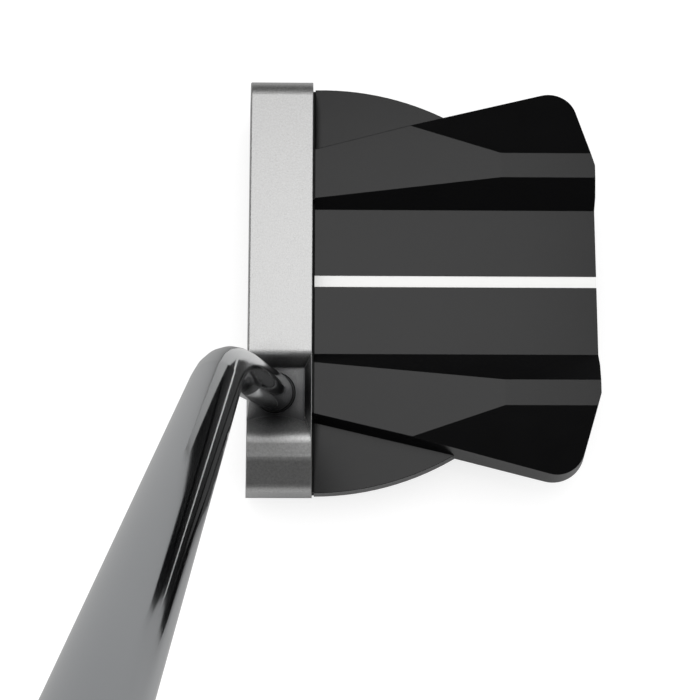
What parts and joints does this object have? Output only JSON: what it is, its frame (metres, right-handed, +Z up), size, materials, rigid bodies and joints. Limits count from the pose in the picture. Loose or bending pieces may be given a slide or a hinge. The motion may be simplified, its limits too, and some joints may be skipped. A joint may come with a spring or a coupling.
{
  "type": "mallet putter",
  "caption": "Right-handed mallet golf putter: steel face body, winged black rear body with a sight line, one bent shaft.",
  "frame": {"origin": "on the flat of the sole, under the sight line, midway between face and back", "axes": "+X from the face to the back, +Y from heel to toe, +Z up, with the club at its lie angle at address"},
  "size_m": [0.1027, 0.3629, 0.8164],
  "materials": {
    "blasted_steel": "fine bead-blasted stainless steel, machined edges",
    "black_anodised": "satin black anodised, milled facets",
    "gasket_rubber": "matt black",
    "white_paint": "satin white paint fill",
    "screw_steel": "turned steel, blackened",
    "plate_anodised": "fine-milled, black anodised",
    "pad_rubber": "matt black polymer",
    "black_chrome": "black chrome plate, polished",
    "adhesive": "cured epoxy",
    "plug_plastic": "natural nylon",
    "tape_fabric": "double-sided paper tape",
    "grip_foam": "closed-cell EVA foam",
    "grip_skin": "polyurethane skin with fine pebble",
    "cap_rubber": "moulded rubber",
    "weight_steel": "turned stainless steel",
    "ring_rubber": "nitrile rubber"
  },
  "bodies": {
    "club": {"face_body": "blasted_steel", "rear_body": "black_anodised", "damping_gasket": "gasket_rubber", "sight_line_fill": "white_paint", "body_screws": "screw_steel", "locating_pins": "screw_steel", "sole_plate": "plate_anodised", "sole_plate_screws": "screw_steel", "damping_pad": "pad_rubber", "shaft": "black_chrome", "shaft_bond": "adhesive", "shaft_tip_plug": "plug_plastic", "grip_tape": "tape_fabric", "grip_core": "grip_foam", "grip_cover": "grip_skin", "grip_end_cap": "cap_rubber"},
    "toe_ring_body": {"toe_weight_ring": "ring_rubber"},
    "toe_weight_body": {"toe_weight": "weight_steel"},
    "heel_ring_body": {"heel_weight_ring": "ring_rubber"},
    "heel_weight_body": {"heel_weight": "weight_steel"}
  },
  "joints": [
    {"name": "toe_weight_travel", "type": "slide", "parent": "club", "child": "toe_ring_body", "axis": [0, 0, -1], "range_m": [0, 0.008]},
    {"name": "toe_weight_turn", "type": "hinge", "parent": "toe_ring_body", "child": "toe_weight_body", "pos_m": [-0.00735, 0.032, 0], "axis": [0, 0, -1], "range_deg": [0, 2880]},
    {"name": "heel_weight_travel", "type": "slide", "parent": "club", "child": "heel_ring_body", "axis": [0, 0, -1], "range_m": [0, 0.008]},
    {"name": "heel_weight_turn", "type": "hinge", "parent": "heel_ring_body", "child": "heel_weight_body", "pos_m": [-0.00735, -0.032, 0], "axis": [0, 0, -1], "range_deg": [0, 2880]}
  ],
  "couplings": [
    {"joint": "toe_weight_travel", "follows": "toe_weight_turn", "m_per_rad": 0.00015915},
    {"joint": "heel_weight_travel", "follows": "heel_weight_turn", "m_per_rad": 0.00015915}
  ]
}
